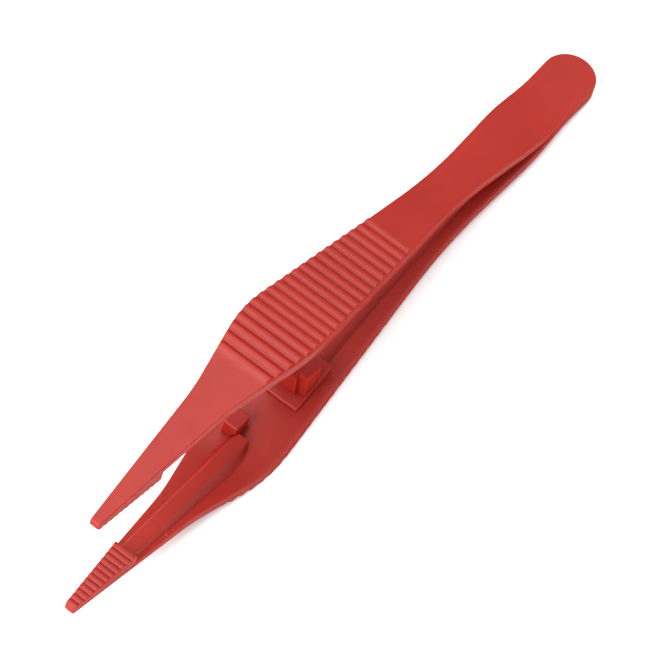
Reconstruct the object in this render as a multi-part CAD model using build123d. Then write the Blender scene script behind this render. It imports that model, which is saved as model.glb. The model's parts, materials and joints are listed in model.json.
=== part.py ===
from build123d import *
import math
import os

# Spring tweezers moulded in plastic: two mirrored bowed arms that meet in a round butt.
# Millimetres. Everything is drawn in a level frame first: X runs from the jaw tips at 0 to
# the butt, Z is up and z = 0 is the mirror plane between the two arms. The whole object is
# then tipped about Y until its grip ribs and its butt both touch the surface below it.

# ---- overall ----
LENGTH = 130.0
BUTT_THICKNESS = 2.8
HINGE_X = 110.0
HINGE_Z = 1.85
HINGE_GAP = 0.3
CLOSING_ANGLE = 5.35

# ---- plan outline of an arm: x, half width, and the corner radius there ----
PLAN_POINTS = [(0.0, 0.88), (27.5, 3.2), (43.5, 6.6), (91.0, 3.15), (111.5, 4.75), (120.0, 4.3)]
PLAN_RADII = [45.0, 35.0, 110.0, 60.0, 50.0]
BUTT_RADIUS = 4.4

# ---- side outline of the upper arm: x, height above the mirror plane, corner radius ----
OUTER_POINTS = [(0.0, 12.1), (41.5, 16.55), (76.0, 9.1), (117.0, BUTT_THICKNESS / 2)]
INNER_POINTS = [(0.0, 11.1), (41.0, 14.45), (76.0, 7.2), (115.5, 0.0)]
SIDE_RADII = [30.0, 150.0, 40.0]

# ---- jaw pad and its rounded cross teeth ----
PAD_LENGTH = 13.9
PAD_FACE_TIP = 10.75
PAD_FACE_HEEL = 10.5
PAD_BACK = 12.6
TOOTH_COUNT = 12
TOOTH_PITCH = 1.14
TOOTH_RADIUS = 0.5
TOOTH_HEIGHT = 0.25

# ---- grip ribs across the outer face ----
RIB_COUNT = 20
RIB_FIRST_X = 35.6
RIB_LAST_X = 74.3
RIB_RADIUS = 0.62
RIB_HEIGHT = 0.42
RIB_EDGE_INSET = 0.25

# ---- stiffening spine down the middle of the inner face, in a front and a rear run ----
SPINE_TOP_HALF = 1.0
SPINE_FOOT_HALF = 2.35
SPINE_DRAFT_HEIGHT = 2.2
FRONT_SPINE_END = 43.8
FRONT_SPINE_TOP = [(PAD_LENGTH, 11.4), (FRONT_SPINE_END, 12.35)]
REAR_SPINE_START = 61.2
REAR_SPINE_END = 104.0
REAR_SPINE_TOP = [(REAR_SPINE_START, 8.65), (REAR_SPINE_END, 1.55)]

# ---- block beside the end of the front spine on the lower arm ----
STOP_X = (43.1, 46.7)
STOP_Y = (SPINE_TOP_HALF, 3.6)
STOP_TOP = 11.1
STOP_ROOT = 15.2

# ---- guide: a fork on the lower arm and the tongue on the upper arm. Side outlines are
# drawn on the upper arm and mirrored down; they lean so as to stand square to the leaf ----
PEDESTAL_TOP = [(52.6, 11.4), (REAR_SPINE_START, 8.4)]
PEDESTAL_HALF = 3.3
GUIDE_ROOT = 14.0
PRONG_SIDE = [(55.2, 11.7), (53.8, 4.5), (57.7, 5.5), (58.9, 11.2)]
PRONG_OUTER = 2.95
PRONG_INNER = 1.55
WEB_SIDE = [(54.5, 11.8), (53.2, 5.5), (57.5, 6.4), (58.9, 11.2)]
FAR_PRONG_SIDE = [(54.5, 11.8), (53.0, 4.3), (57.7, 5.5), (58.9, 11.2)]
TONGUE_X = (53.6, 57.0)
TONGUE_TIP = 5.2
TONGUE_TIP_HALF = 0.7
TONGUE_ROOT_HALF = 1.2
TONGUE_TAPER = 2.0

# ---- how far a shape runs past what trims it ----
WIDE = 20.0
HIGH = 40.0
NEEDLE = 0.02


def slab(points):
    """A closed XZ outline run 20 mm to each side of the middle."""
    outline = Plane.XZ * make_face(Polyline(*points, close=True))
    return extrude(outline, WIDE, both=True)


def plan_prism(inset=0.0):
    """The arm's plan outline as a tall prism, drawn in by inset at both sides."""
    half = [(x, y - inset) for x, y in PLAN_POINTS]
    end_half = BUTT_RADIUS - inset
    end_x = LENGTH - BUTT_RADIUS
    left = FilletPolyline(*half, (end_x, end_half), radius=PLAN_RADII)
    right = mirror(left, Plane.XZ)
    nose = ThreePointArc((end_x, end_half), (end_x + end_half, 0), (end_x, -end_half))
    tip = Line((0, half[0][1]), (0, -half[0][1]))
    outline = make_face(left.edges() + right.edges() + nose.edges() + tip.edges())
    return extrude(outline, HIGH, both=True)


def side_band():
    """The bowed arm seen from the side, as wide as the slab."""
    outer = FilletPolyline(*OUTER_POINTS, (LENGTH, OUTER_POINTS[-1][1]), radius=SIDE_RADII)
    inner = FilletPolyline(*INNER_POINTS, (LENGTH, 0), radius=SIDE_RADII)
    tip = Line(OUTER_POINTS[0], INNER_POINTS[0])
    butt = Line((LENGTH, OUTER_POINTS[-1][1]), (LENGTH, 0))
    outline = make_face(outer.edges() + inner.edges() + tip.edges() + butt.edges())
    return extrude(Plane.XZ * outline, WIDE, both=True)


def x_range(low, high):
    """A block that keeps only what lies between two stations along X."""
    middle = (low + high) / 2
    return Pos(middle, 0, 0) * Box(high - low, 2 * WIDE, 2 * HIGH)


def height_at(points, x):
    """Height of a straight-sided outline at x."""
    for (x0, z0), (x1, z1) in zip(points, points[1:]):
        if x0 <= x <= x1:
            return z0 + (z1 - z0) * (x - x0) / (x1 - x0)
    return points[-1][1]


def arm_band(upper_leaf):
    """The arm in front of its flexing line."""
    return upper_leaf & x_range(-1, HINGE_X - HINGE_GAP / 2)


def butt_plate(upper_leaf):
    """The rounded end behind the flexing line."""
    return upper_leaf & x_range(HINGE_X + HINGE_GAP / 2, LENGTH + 1)


def jaw_pad(leaf, plan):
    """Pad under the tip of the arm, with rounded teeth across its face."""
    face = [(0, PAD_FACE_TIP), (PAD_LENGTH, PAD_FACE_HEEL)]
    back = [(PAD_LENGTH, PAD_BACK), (0, PAD_BACK)]
    pad = slab(face + back)
    first = PAD_LENGTH - (TOOTH_COUNT - 0.5) * TOOTH_PITCH
    for i in range(TOOTH_COUNT):
        x = first + i * TOOTH_PITCH
        z = height_at(face, x) + TOOTH_RADIUS - TOOTH_HEIGHT
        pad += Pos(x, 0, z) * Rot(90, 0, 0) * Cylinder(TOOTH_RADIUS, 2 * WIDE)
    return lower_piece((pad & plan) - leaf)


def grip_ribs(leaf, narrow_plan):
    """Half-round ribs across the outer face, one solid each."""
    ribs = []
    for x, z in rib_centres(leaf):
        bar = Pos(x, 0, z) * Rot(90, 0, 0) * Cylinder(RIB_RADIUS, 2 * WIDE)
        ribs.append(upper_piece((bar & narrow_plan) - leaf))
    return Compound(children=ribs)


def outer_height(leaf, x):
    """Height of the leaf's outer face on its centre line at x."""
    needle = Pos(x, 0, HIGH / 2) * Box(NEEDLE, NEEDLE, HIGH)
    return (leaf & needle).bounding_box().max.Z


def upper_piece(shape):
    """The highest of the solids that a cut has left."""
    return max(shape.solids(), key=lambda solid: solid.center().Z)


def lower_piece(shape):
    """The lowest of the solids that a cut has left."""
    return min(shape.solids(), key=lambda solid: solid.center().Z)


def spine(leaf, top, foot_half):
    """Drafted rib standing on the inner face of the upper arm."""
    section = []
    for x, z in top:
        corners = [
            (x, -SPINE_TOP_HALF, z),
            (x, SPINE_TOP_HALF, z),
            (x, foot_half, z + SPINE_DRAFT_HEIGHT),
            (x, foot_half, z + 2 * SPINE_DRAFT_HEIGHT),
            (x, -foot_half, z + 2 * SPINE_DRAFT_HEIGHT),
            (x, -foot_half, z + SPINE_DRAFT_HEIGHT),
        ]
        section.append(make_face(Polyline(*corners, close=True)))
    return lower_piece(loft(section) - leaf)


def box_between(x, y, z):
    """A block between two values along each axis."""
    size = [high - low for low, high in (x, y, z)]
    centre = [(low + high) / 2 for low, high in (x, y, z)]
    return Pos(*centre) * Box(*size)


def ridge_stop(leaf, front_spine):
    """Small block beside the spine's end."""
    block = box_between(STOP_X, STOP_Y, (STOP_TOP, STOP_ROOT))
    return lower_piece(block - leaf - front_spine)


def between_sides(shape, low, high):
    """What lies between two values of Y."""
    return shape & box_between((0, LENGTH), (low, high), (0, HIGH))


def rooted(side):
    """A side outline carried down into the leaf and run across the arm."""
    return slab(side + [(side[-1][0], GUIDE_ROOT), (side[0][0], GUIDE_ROOT)])


def guide_pedestal(leaf):
    """Low step that carries the guide fork."""
    block = between_sides(rooted(PEDESTAL_TOP), -PEDESTAL_HALF, PEDESTAL_HALF)
    return lower_piece(block - leaf)


def guide_fork(leaf, pedestal):
    """Web across the arm with a prong at each side, which keep the tongue in line."""
    fork = between_sides(rooted(WEB_SIDE), -PRONG_INNER, PRONG_INNER)
    fork += between_sides(rooted(PRONG_SIDE), -PRONG_OUTER, -PRONG_INNER)
    fork += between_sides(rooted(FAR_PRONG_SIDE), PRONG_INNER, PRONG_OUTER)
    return lower_piece(fork - leaf - pedestal)


def guide_tongue(leaf):
    """Blade of the upper arm that drops between the fork's prongs."""
    x0, x1 = TONGUE_X
    taper_end = TONGUE_TIP + TONGUE_TAPER
    outline = [
        (-TONGUE_TIP_HALF, TONGUE_TIP),
        (TONGUE_TIP_HALF, TONGUE_TIP),
        (TONGUE_ROOT_HALF, taper_end),
        (TONGUE_ROOT_HALF, GUIDE_ROOT),
        (-TONGUE_ROOT_HALF, GUIDE_ROOT),
        (-TONGUE_ROOT_HALF, taper_end),
    ]
    section = Plane.YZ * make_face(Polyline(*outline, close=True))
    return lower_piece(Pos(x0, 0, 0) * extrude(section, x1 - x0) - leaf)


def rib_centres(leaf):
    """Axis of each upper rib as (x, z), on the centre line."""
    pitch = (RIB_LAST_X - RIB_FIRST_X) / (RIB_COUNT - 1)
    stations = [RIB_FIRST_X + i * pitch for i in range(RIB_COUNT)]
    return [(x, outer_height(leaf, x) - RIB_RADIUS + RIB_HEIGHT) for x in stations]


def rest_tilt(leaf):
    """Degrees about Y that bring a lower rib and the end of the butt to one level."""
    angles = []
    for x, z in rib_centres(leaf):
        along = LENGTH - x
        rise = z - BUTT_THICKNESS / 2
        reach = math.hypot(along, rise)
        angles.append(math.atan2(rise, along) + math.asin(RIB_RADIUS / reach))
    return math.degrees(max(angles))


def resting_place(nodes):
    """Tilt, then a shift that puts the origin under the middle, on the surface."""
    tilt = Rot(0, rest_tilt(nodes["upper_arm"]), 0)
    box = Compound(children=[tilt * shape for shape in nodes.values()]).bounding_box()
    middle = box.center()
    return Pos(-middle.X, -middle.Y, -box.min.Z) * tilt


def level_nodes():
    """Every named piece in the level frame."""
    plan = plan_prism()
    whole = side_band() & plan
    leaf = arm_band(whole)
    front = spine(leaf, FRONT_SPINE_TOP, SPINE_FOOT_HALF)
    front -= x_range(-1, PAD_LENGTH)
    rear = spine(leaf, REAR_SPINE_TOP, SPINE_FOOT_HALF)
    pedestal = guide_pedestal(leaf)
    upper = {
        "upper_arm": leaf,
        "upper_grip_ribs": grip_ribs(leaf, plan_prism(RIB_EDGE_INSET)),
        "upper_jaw_pad": jaw_pad(leaf, plan),
        "upper_front_spine": front,
        "upper_rear_spine": rear,
        "upper_butt_plate": butt_plate(whole),
    }
    lower = {
        "lower_ridge_stop": ridge_stop(leaf, front),
        "lower_guide_pedestal": pedestal,
        "lower_guide_fork": guide_fork(leaf, pedestal),
    }
    nodes = dict(upper)
    for name, shape in upper.items():
        nodes[name.replace("upper", "lower")] = mirror(shape, Plane.XY)
    for name, shape in lower.items():
        nodes[name] = mirror(shape, Plane.XY)
    nodes["upper_guide_tongue"] = guide_tongue(leaf)
    return nodes


if __name__ == "__main__":
    os.makedirs("parts", exist_ok=True)
    level = level_nodes()
    place = resting_place(level)
    print("tilt", round(rest_tilt(level["upper_arm"]), 4), "shift", place.position)
    for name, shape in level.items():
        export_step(place * shape, f"parts/{name}.step")
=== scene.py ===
import json
import math

import bmesh
import bpy
import numpy as np
from mathutils import Matrix, Vector


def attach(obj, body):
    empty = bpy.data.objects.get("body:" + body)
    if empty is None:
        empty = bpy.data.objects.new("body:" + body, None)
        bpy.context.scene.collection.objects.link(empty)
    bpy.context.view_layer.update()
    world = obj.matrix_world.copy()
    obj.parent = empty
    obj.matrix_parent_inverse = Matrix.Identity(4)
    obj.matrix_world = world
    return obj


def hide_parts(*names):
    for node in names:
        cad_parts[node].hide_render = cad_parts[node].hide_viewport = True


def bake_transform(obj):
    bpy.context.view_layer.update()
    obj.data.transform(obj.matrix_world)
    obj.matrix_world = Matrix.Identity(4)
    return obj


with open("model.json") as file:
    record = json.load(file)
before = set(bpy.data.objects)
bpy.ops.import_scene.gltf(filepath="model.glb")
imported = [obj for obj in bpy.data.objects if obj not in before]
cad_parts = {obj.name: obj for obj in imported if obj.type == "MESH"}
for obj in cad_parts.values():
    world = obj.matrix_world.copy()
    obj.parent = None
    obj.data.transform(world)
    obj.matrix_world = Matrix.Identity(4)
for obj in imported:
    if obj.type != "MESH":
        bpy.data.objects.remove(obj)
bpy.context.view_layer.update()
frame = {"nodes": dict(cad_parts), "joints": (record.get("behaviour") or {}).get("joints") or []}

# Moulded plastic tweezers. Shapes are drawn in the level frame of the CAD model: millimetres,
# X from the jaw tips to the butt, Z up from the mirror plane between the arms. Everything is
# drawn for the upper arm and turned half round about X for the lower one. LEVEL then carries
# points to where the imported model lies.

MM = 0.001
WELD = 0.000002

# ---- an arm's plan and side outlines: x, size there, and the corner radii ----
LENGTH = 130.0
BUTT_RADIUS = 4.4
BUTT_CENTRE = LENGTH - BUTT_RADIUS
HALF_BUTT = 1.4
HINGE_X = 110.0
PLAN_POINTS = [(0.0, 0.88), (27.5, 3.2), (43.5, 6.6), (91.0, 3.15), (111.5, 4.75), (120.0, 4.3),
               (BUTT_CENTRE, BUTT_RADIUS)]
PLAN_RADII = [45.0, 35.0, 110.0, 60.0, 50.0]
OUTER_POINTS = [(0.0, 12.1), (41.5, 16.55), (76.0, 9.1), (117.0, HALF_BUTT), (LENGTH, HALF_BUTT)]
INNER_POINTS = [(0.0, 11.1), (41.0, 14.45), (76.0, 7.2), (115.5, 0.0), (LENGTH, 0.0)]
SIDE_RADII = [30.0, 150.0, 40.0]

# ---- jaw pad and its teeth ----
PAD_LENGTH = 13.9
PAD_FACE_TIP = 10.75
PAD_FACE_HEEL = 10.5
TOOTH_COUNT = 12
TOOTH_PITCH = 1.14
TOOTH_WIDTH = 0.98
TOOTH_HEIGHT = 0.25
TOOTH_ROUNDNESS = 2.0
TOOTH_FIRST = PAD_LENGTH - (TOOTH_COUNT - 0.5) * TOOTH_PITCH

# ---- grip ribs ----
RIB_COUNT = 20
RIB_FIRST_X = 35.6
RIB_LAST_X = 74.3
RIB_PITCH = (RIB_LAST_X - RIB_FIRST_X) / (RIB_COUNT - 1)
RIB_WIDTH = 1.3
RIB_HEIGHT = 0.4
RIB_ROUNDNESS = 2.0
RIB_END = 0.3
RIB_END_INSET = 0.06
RIB_RUN_OUT = 1.5

# ---- spines on the inner faces: side runs of their crests, and the slope of their walls ----
SPINE_TOP_HALF = 1.0
SPINE_SLOPE = 0.614
FRONT_SPINE = [(PAD_LENGTH, 11.4), (43.8, 12.35)]
REAR_SPINE = [(61.2, 8.65), (104.0, 1.55)]
SPINE_END = 3.0
SPINE_END_SLOPE = 0.16

# ---- ejector mark on the lower leaf ----
PIP_X, PIP_Y = 21.7, 2.2
PIP_RADIUS = 0.42
PIP_HEIGHT = 0.16

# ---- edge rounding ----
OUTER_EDGE = 0.24
INNER_EDGE = 0.14
TIP_EDGE = 0.3
SPINE_EDGE = 0.17
GUIDE_EDGE = 0.22

# ---- spacing of cross sections along the plain stretches ----
PLAIN_STEP = 0.7

# ---- divisions of the butt's rounded end ----
CAP_STEPS = 48


def rounded_line(points, radii):
    """Height of a line of straight runs joined by tangent arcs, as a function of x."""
    arcs = []
    for (x0, z0), (x1, z1), (x2, z2), radius in zip(points, points[1:], points[2:], radii):
        into, out = math.atan2(z1 - z0, x1 - x0), math.atan2(z2 - z1, x2 - x1)
        reach = radius * math.tan(abs(out - into) / 2)
        side = math.copysign(radius, out - into)
        x_in, z_in = x1 - reach * math.cos(into), z1 - reach * math.sin(into)
        x_out = x1 + reach * math.cos(out)
        arcs.append((x_in, x_out, x_in - side * math.sin(into), z_in + side * math.cos(into), side))

    def height(x):
        for x_in, x_out, cx, cz, side in arcs:
            if x_in < x < x_out:
                return cz - math.copysign(math.sqrt(side * side - (x - cx) ** 2), side)
        for (x0, z0), (x1, z1) in zip(points, points[1:]):
            if x <= x1:
                return z0 + (z1 - z0) * (x - x0) / (x1 - x0)
        return points[-1][1]

    return height


half_width = rounded_line(PLAN_POINTS, PLAN_RADII)
outer_height = rounded_line(OUTER_POINTS, SIDE_RADII)
inner_height = rounded_line(INNER_POINTS, SIDE_RADII)


def bump(offset, width, height, roundness):
    """Rounded ridge: its height at the middle, 0 half a width away, an ellipse at roundness 2."""
    t = min(abs(offset) / (width / 2), 1.0)
    return height * (1.0 - t ** roundness) ** (1.0 / roundness)


def nearest_bump(x, first, pitch, count, *shape):
    """Height at x of a row of equal ridges."""
    index = min(max(round((x - first) / pitch), 0), count - 1)
    return bump(x - first - index * pitch, *shape)


def rib_bump(x):
    """Height of the grip ribs above the outer face at x."""
    return nearest_bump(x, RIB_FIRST_X, RIB_PITCH, RIB_COUNT, RIB_WIDTH, RIB_HEIGHT, RIB_ROUNDNESS)


def inner_surface(x):
    """The arm's inner side: the toothed pad, then its small step up to the leaf."""
    if x >= PAD_LENGTH:
        return inner_height(x)
    face = PAD_FACE_TIP + (PAD_FACE_HEEL - PAD_FACE_TIP) * x / PAD_LENGTH
    row = (TOOTH_FIRST, TOOTH_PITCH, TOOTH_COUNT)
    return face - nearest_bump(x, *row, TOOTH_WIDTH, TOOTH_HEIGHT, TOOTH_ROUNDNESS)


def arm_stations():
    """Places along X for the arm's cross sections, close together where it is detailed."""
    places = {PAD_LENGTH - 0.06, PAD_LENGTH - 0.015, PAD_LENGTH, BUTT_CENTRE}
    places.update(np.arange(PAD_LENGTH + 0.5, RIB_FIRST_X - 1.0, PLAIN_STEP))
    places.update(np.arange(RIB_LAST_X + 1.0, BUTT_CENTRE, PLAIN_STEP))
    rows = [(TOOTH_FIRST, TOOTH_PITCH, TOOTH_COUNT, TOOTH_WIDTH, 11),
            (RIB_FIRST_X, RIB_PITCH, RIB_COUNT, RIB_WIDTH, 15)]
    for first, pitch, count, width, steps in rows:
        swing = np.sin(np.linspace(-math.pi / 2, math.pi / 2, steps))
        for i in range(count):
            places.update(first + i * pitch + width / 2 * swing)
            places.add(first + (i + 0.5) * pitch)
    return sorted({round(float(p), 3) for p in places if TIP_EDGE < p <= BUTT_CENTRE})


def arc(centre_y, centre_z, radius, start, end, steps):
    """Points of a circular arc in a cross section, angles in degrees."""
    angles = np.radians(np.linspace(start, end, steps))
    return [(centre_y + radius * math.cos(a), centre_z + radius * math.sin(a)) for a in angles]


def rib_share(along):
    """How much of the rib's height is left that far in from the arm's edge."""
    t = min(max(along / RIB_END, 0.0), 1.0)
    return t * t * (3 - 2 * t)


def section(x, inset=0.0):
    """Cross section of the upper arm at x, a closed loop of (y, z).

    A rib runs out over the edge at +y and ends just inside the edge at -y.
    """
    wide = half_width(x) - inset
    top, low = outer_height(x) - inset, inner_surface(x) + inset
    big = min(OUTER_EDGE, 0.45 * wide, 0.45 * (top - low))
    small = min(INNER_EDGE, 0.4 * (top - low))
    wall = [(wide, low + small + f * (top - big - low - small)) for f in (0.33, 0.67)]
    side = arc(wide - small, low + small, small, -90, 0, 4) + wall
    side += arc(wide - big, top - big, big, 0, 90, 6)
    ridge = rib_bump(x)
    across = [(f * (wide - big), top) for f in np.linspace(1, -1, 21)[1:-1]]
    for reach in (0.08, 0.2, 0.34, 0.5, 0.64):
        across += [(wide - big - reach, top), (big + reach - wide, top)]
    across = sorted(across, reverse=True)
    across = [(y, z + ridge * (1.0 if y > 0 else rib_share(wide + y - RIB_END_INSET))) for y, z in across]
    right = [(y, z + ridge * min(RIB_RUN_OUT * max(z - top + big, 0.0) / big, 1.0)) for y, z in side]
    inner = [(f * (wide - small), low) for f in np.linspace(-1, 1, 13)[1:-1]]
    return inner + right + across + [(-y, z) for y, z in reversed(side)]


def level_frame():
    """Matrix from the level frame, in metres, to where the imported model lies."""
    hinges = {joint["child"]: Vector(joint["pos_m"]) for joint in frame["joints"]}
    upper, lower = hinges["upper_arm_body"], hinges["lower_arm_body"]
    up = (upper - lower).normalized()
    across = Vector((0, 1, 0))
    along = across.cross(up)
    origin = (upper + lower) / 2 - along * HINGE_X * MM
    return Matrix.Translation(origin) @ Matrix((along, across, up)).transposed().to_4x4()


LEVEL = level_frame()


def packed(x, y, z):
    """A level-frame point in millimetres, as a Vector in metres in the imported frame."""
    return LEVEL @ Vector((x * MM, y * MM, z * MM))


def new_piece(name, points, faces, turned):
    """Closed mesh from level-frame points in millimetres, turned half round on request."""
    turn = -1.0 if turned else 1.0
    mesh = bpy.data.meshes.new(name)
    mesh.from_pydata([packed(x, turn * y, turn * z) for x, y, z in points], [], faces)
    bm = bmesh.new()
    bm.from_mesh(mesh)
    bmesh.ops.remove_doubles(bm, verts=bm.verts, dist=WELD)
    bmesh.ops.recalc_face_normals(bm, faces=bm.faces)
    for face in bm.faces:
        face.smooth = True
    bm.to_mesh(mesh)
    bm.free()
    piece = bpy.data.objects.new(name, mesh)
    bpy.context.scene.collection.objects.link(piece)
    mesh.materials.append(RED)
    return piece


def skin(loops, close_end=True):
    """Points and faces of a tube through equal closed loops of (x, y, z)."""
    n = len(loops[0])
    faces = []
    for i in range(len(loops) - 1):
        for j in range(n):
            k = (j + 1) % n
            faces.append((i * n + j, i * n + k, (i + 1) * n + k, (i + 1) * n + j))
    faces.append(tuple(range(n)))
    if close_end:
        faces.append(tuple(range((len(loops) - 1) * n, len(loops) * n)))
    return [p for loop in loops for p in loop], faces


def butt_cap(last):
    """Half turn of the last section about the butt's centre: the rounded end."""
    start = next(i for i, p in enumerate(last) if p[0] > -1e-9)
    half = [p for p in last[start:] + last[:start] if p[0] > -1e-9]
    steps, m = CAP_STEPS, len(half)
    points, faces = [], []
    for i in range(steps + 1):
        a = math.pi / 2 - math.pi * i / steps
        points += [(BUTT_CENTRE + y * math.cos(a), y * math.sin(a), z) for y, z in half]
    for i in range(steps):
        for j in range(m - 1):
            k = i * m + j
            faces.append((k, k + 1, k + m + 1, k + m))
    return points, faces


def arm_moulding(name, turned):
    """One arm with its ribs, toothed pad and half of the butt, as one continuous moulding."""
    loops = []
    for a in np.radians(np.linspace(90, 0, 6)):
        x = TIP_EDGE * (1 - math.sin(a))
        loops.append([(x, y, z) for y, z in section(x, TIP_EDGE * (1 - math.cos(a)))])
    loops += [[(x, y, z) for y, z in section(x)] for x in arm_stations()]
    points, faces = skin(loops, close_end=False)
    cap_points, cap_faces = butt_cap(section(BUTT_CENTRE))
    base = len(points)
    faces += [tuple(base + i for i in face) for face in cap_faces]
    return new_piece(name, points + cap_points, faces, turned)


def spine_section(x, top, slope, inset=0.0):
    """Closed loop of (y, z): drafted walls, rounded crest and a thin lip along the foot."""
    leaf = inner_height(x)
    z = top + inset
    foot = SPINE_TOP_HALF + slope * (leaf - z) - inset
    crest = SPINE_TOP_HALF - inset
    r = SPINE_EDGE
    lip = min(0.16, 0.3 * (leaf - z))
    side = [
        (foot + 0.04, leaf + 0.2),
        (foot + 0.04, leaf - 0.3 * lip),
        (foot + 0.02, leaf - 0.8 * lip),
        (foot - 0.05, leaf - lip),
        (foot - 0.14, leaf - lip - 0.05),
        (foot - 0.3 * (foot - crest), z + 0.7 * (leaf - lip - z)),
        (crest + 0.12, z + 0.22),
        (crest + 0.03, z + 0.1),
        (crest - 0.3 * r, z + 0.03),
        (crest - r, z),
        (crest - 2 * r, z),
    ]
    flat = [(f * (crest - 2 * r), z) for f in (0.5, 0.0, -0.5)]
    return side + flat + [(-y, w) for y, w in reversed(side)]


def spine_moulding(name, run, turned):
    """Stiffening spine along the inner face; the front one squares up at its free end."""
    (x0, z0), (x1, z1) = run
    squares_up = run is FRONT_SPINE
    plain = [*np.linspace(x0, x1 - 2 * SPINE_EDGE, 44), x1 - 1.1 * SPINE_EDGE, x1 - SPINE_EDGE]
    loops = []
    for x in plain:
        squared = min(max((x - x1) / SPINE_END + 1, 0.0), 1.0) ** 1.5 if squares_up else 0.0
        slope = SPINE_SLOPE + (SPINE_END_SLOPE - SPINE_SLOPE) * squared
        top = z0 + (z1 - z0) * (x - x0) / (x1 - x0)
        loops.append([(x, y, z) for y, z in spine_section(x, top, slope)])
    for a in np.radians(np.linspace(18, 90, 5)):
        x = x1 - SPINE_EDGE * (1 - math.sin(a))
        loops.append([(x, y, z) for y, z in spine_section(x, z1, slope, SPINE_EDGE * (1 - math.cos(a)))])
    return new_piece(name, *skin(loops), turned)


def leaf_pip():
    """Small round ejector mark beside the lower front spine."""
    leaf = inner_height(PIP_X)
    loops = []
    for radius, z in ((PIP_RADIUS, leaf + 0.2), (PIP_RADIUS, leaf - 0.6 * PIP_HEIGHT),
                      (0.95 * PIP_RADIUS, leaf - 0.9 * PIP_HEIGHT), (0.85 * PIP_RADIUS, leaf - PIP_HEIGHT)):
        ring = arc(PIP_X, PIP_Y, radius, 0.0, 345.0, 24)
        loops.append([(x, y, z) for x, y in ring])
    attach(new_piece("lower_leaf_pip", *skin(loops), turned=True), "lower_arm_body")


def texture(tree, place, scale, detail, roughness):
    """Noise over the piece's own coordinates."""
    noise = tree.nodes.new("ShaderNodeTexNoise")
    noise.inputs["Scale"].default_value = scale
    noise.inputs["Detail"].default_value = detail
    noise.inputs["Roughness"].default_value = roughness
    tree.links.new(place.outputs["Object"], noise.inputs["Vector"])
    return noise.outputs["Fac"]


def ramp(tree, factor, low, high, start, end):
    """Colour that runs from one value to another as the factor goes from start to end."""
    node = tree.nodes.new("ShaderNodeValToRGB")
    for element, position, colour in zip(node.color_ramp.elements, (start, end), (low, high)):
        element.position = position
        element.color = (*colour, 1)
    tree.links.new(factor, node.inputs["Fac"])
    return node.outputs["Color"]


def spread(tree, factor, low, high, start=0.3, end=0.7):
    """Factor from start to end, mapped to low to high."""
    node = tree.nodes.new("ShaderNodeMapRange")
    for name, value in (("From Min", start), ("From Max", end), ("To Min", low), ("To Max", high)):
        node.inputs[name].default_value = value
    tree.links.new(factor, node.inputs["Value"])
    return node.outputs["Result"]


def bumps(tree, height, strength, distance, under=None):
    """Bump normal from a height, laid over another bump on request."""
    node = tree.nodes.new("ShaderNodeBump")
    node.inputs["Strength"].default_value = strength
    node.inputs["Distance"].default_value = distance
    tree.links.new(height, node.inputs["Height"])
    if under:
        tree.links.new(under, node.inputs["Normal"])
    return node.outputs["Normal"]


def red_plastic():
    """Satin moulded plastic: red with faint flow clouding, fine mould grain and light scuffs.

    Its gloss fades where a face is seen edge on.
    """
    material = bpy.data.materials.new("red_plastic")
    material.use_nodes = True
    tree = material.node_tree
    shader = tree.nodes["Principled BSDF"]
    shader.inputs["IOR"].default_value = 1.5
    shader.inputs["Subsurface Weight"].default_value = 0.55
    shader.inputs["Subsurface Radius"].default_value = (1.0, 0.2, 0.06)
    shader.inputs["Subsurface Scale"].default_value = 0.0016
    place = tree.nodes.new("ShaderNodeTexCoord")
    cloud = texture(tree, place, 60.0, 4.0, 0.55)
    colour = ramp(tree, cloud, (0.23, 0.0102, 0.0062), (0.268, 0.014, 0.008), 0.3, 0.7)
    tree.links.new(colour, shader.inputs["Base Color"])
    scuffs = texture(tree, place, 450.0, 6.0, 0.7)
    tree.links.new(spread(tree, scuffs, 0.34, 0.46), shader.inputs["Roughness"])
    grazing = tree.nodes.new("ShaderNodeLayerWeight").outputs["Facing"]
    tree.links.new(spread(tree, grazing, 0.24, 0.002, 0.1, 0.8), shader.inputs["Specular IOR Level"])
    flow = bumps(tree, texture(tree, place, 120.0, 2.0, 0.5), 0.1, 0.0004)
    grain = bumps(tree, texture(tree, place, 2600.0, 3.0, 0.6), 0.1, 0.00004, flow)
    tree.links.new(grain, shader.inputs["Normal"])
    return material


RED = red_plastic()


def build_arms():
    """Both arms, bending smoothly into the butt, with their spines."""
    for side, turned in (("upper", False), ("lower", True)):
        for part, run in (("front_spine", FRONT_SPINE), ("rear_spine", REAR_SPINE)):
            piece = spine_moulding(f"{side}_{part}_moulding", run, turned)
            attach(piece, f"{side}_arm_body")
            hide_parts(f"{side}_{part}")
        arm = arm_moulding(f"{side}_arm_moulding", turned)
        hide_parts(f"{side}_arm", f"{side}_grip_ribs", f"{side}_jaw_pad", f"{side}_butt_plate")
        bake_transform(arm)


def dress_cad_nodes():
    """The plastic and soft moulded edges on the CAD nodes that stay visible."""
    for name in ("lower_ridge_stop", "lower_guide_pedestal", "lower_guide_fork", "upper_guide_tongue"):
        node = frame["nodes"][name]
        node.data.materials.clear()
        node.data.materials.append(RED)
        weld = node.modifiers.new("weld", "WELD")
        weld.merge_threshold = WELD
        bevel = node.modifiers.new("bevel", "BEVEL")
        bevel.width = GUIDE_EDGE * MM
        bevel.segments = 4
        bevel.limit_method = "ANGLE"
        bevel.angle_limit = math.radians(25)
        bevel.harden_normals = True


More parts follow.
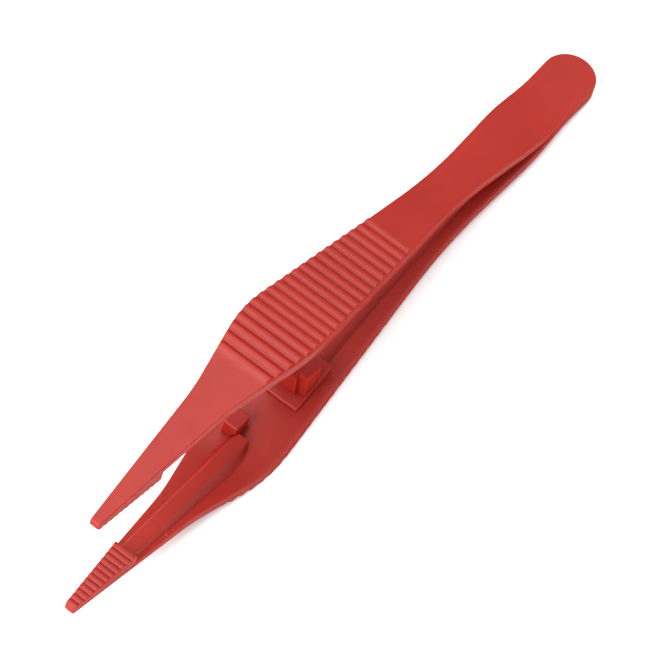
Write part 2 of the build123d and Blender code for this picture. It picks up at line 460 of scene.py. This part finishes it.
def paper_floor():
    """Plain pale sheet under the object."""
    half = 2.0
    mesh = bpy.data.meshes.new("floor")
    corners = [(-half, -half, 0), (half, -half, 0), (half, half, 0), (-half, half, 0)]
    mesh.from_pydata(corners, [], [(0, 1, 2, 3)])
    floor = bpy.data.objects.new("floor", mesh)
    bpy.context.scene.collection.objects.link(floor)
    material = bpy.data.materials.new("floor_paper")
    material.use_nodes = True
    tree = material.node_tree
    shader = tree.nodes["Principled BSDF"]
    shader.inputs["Roughness"].default_value = 0.85
    shader.inputs["Specular IOR Level"].default_value = 0.1
    fibres = texture(tree, tree.nodes.new("ShaderNodeTexCoord"), 900.0, 5.0, 0.6)
    paper = ramp(tree, fibres, (0.93, 0.93, 0.93), (0.96, 0.96, 0.96), 0.3, 0.7)
    tree.links.new(paper, shader.inputs["Base Color"])
    mesh.materials.append(material)


def softbox(name, location, size, power):
    """Square area light aimed at the object."""
    light = bpy.data.lights.new(name, "AREA")
    light.size = size
    light.energy = power
    lamp = bpy.data.objects.new(name, light)
    lamp.location = location
    lamp.rotation_euler = (-Vector(location)).to_track_quat("-Z", "Y").to_euler()
    bpy.context.scene.collection.objects.link(lamp)


def studio():
    """Pale surroundings, brighter overhead, and three soft lights."""
    scene = bpy.context.scene
    scene.view_settings.view_transform = "Standard"
    world = bpy.data.worlds.new("studio")
    world.use_nodes = True
    tree = world.node_tree
    height = tree.nodes.new("ShaderNodeSeparateXYZ")
    tree.links.new(tree.nodes.new("ShaderNodeTexCoord").outputs["Generated"], height.inputs["Vector"])
    sky = ramp(tree, height.outputs["Z"], (0.6, 0.6, 0.6), (0.98, 0.98, 0.98), 0.0, 0.8)
    tree.links.new(sky, tree.nodes["Background"].inputs["Color"])
    scene.world = world
    softbox("key", (-0.55, 0.12, 0.55), 0.4, 7.0)
    softbox("top", (0.25, 0.1, 0.95), 0.9, 9.4)
    softbox("front", (-0.75, -0.08, 0.2), 0.3, 1.8)


def camera():
    """Long lens above the tips' near side, rolled as the photograph is."""
    azimuth, elevation, roll = math.radians(-61.73), math.radians(62.15), math.radians(-10.73)
    distance = 1.0326
    target = Vector((-0.003507, -0.001441, 0.01307))
    back = Vector((math.sin(azimuth) * math.cos(elevation), -math.cos(azimuth) * math.cos(elevation),
                   math.sin(elevation)))
    data = bpy.data.cameras.new("camera")
    data.lens = 370.69
    data.sensor_width = 36.0
    data.clip_end = 10.0
    holder = bpy.data.objects.new("camera", data)
    turn = back.to_track_quat("Z", "Y").to_matrix() @ Matrix.Rotation(-roll, 3, "Z")
    holder.matrix_world = Matrix.Translation(target + back * distance) @ turn.to_4x4()
    bpy.context.scene.collection.objects.link(holder)
    bpy.context.scene.camera = holder


build_arms()
leaf_pip()
dress_cad_nodes()
paper_floor()
studio()
camera()
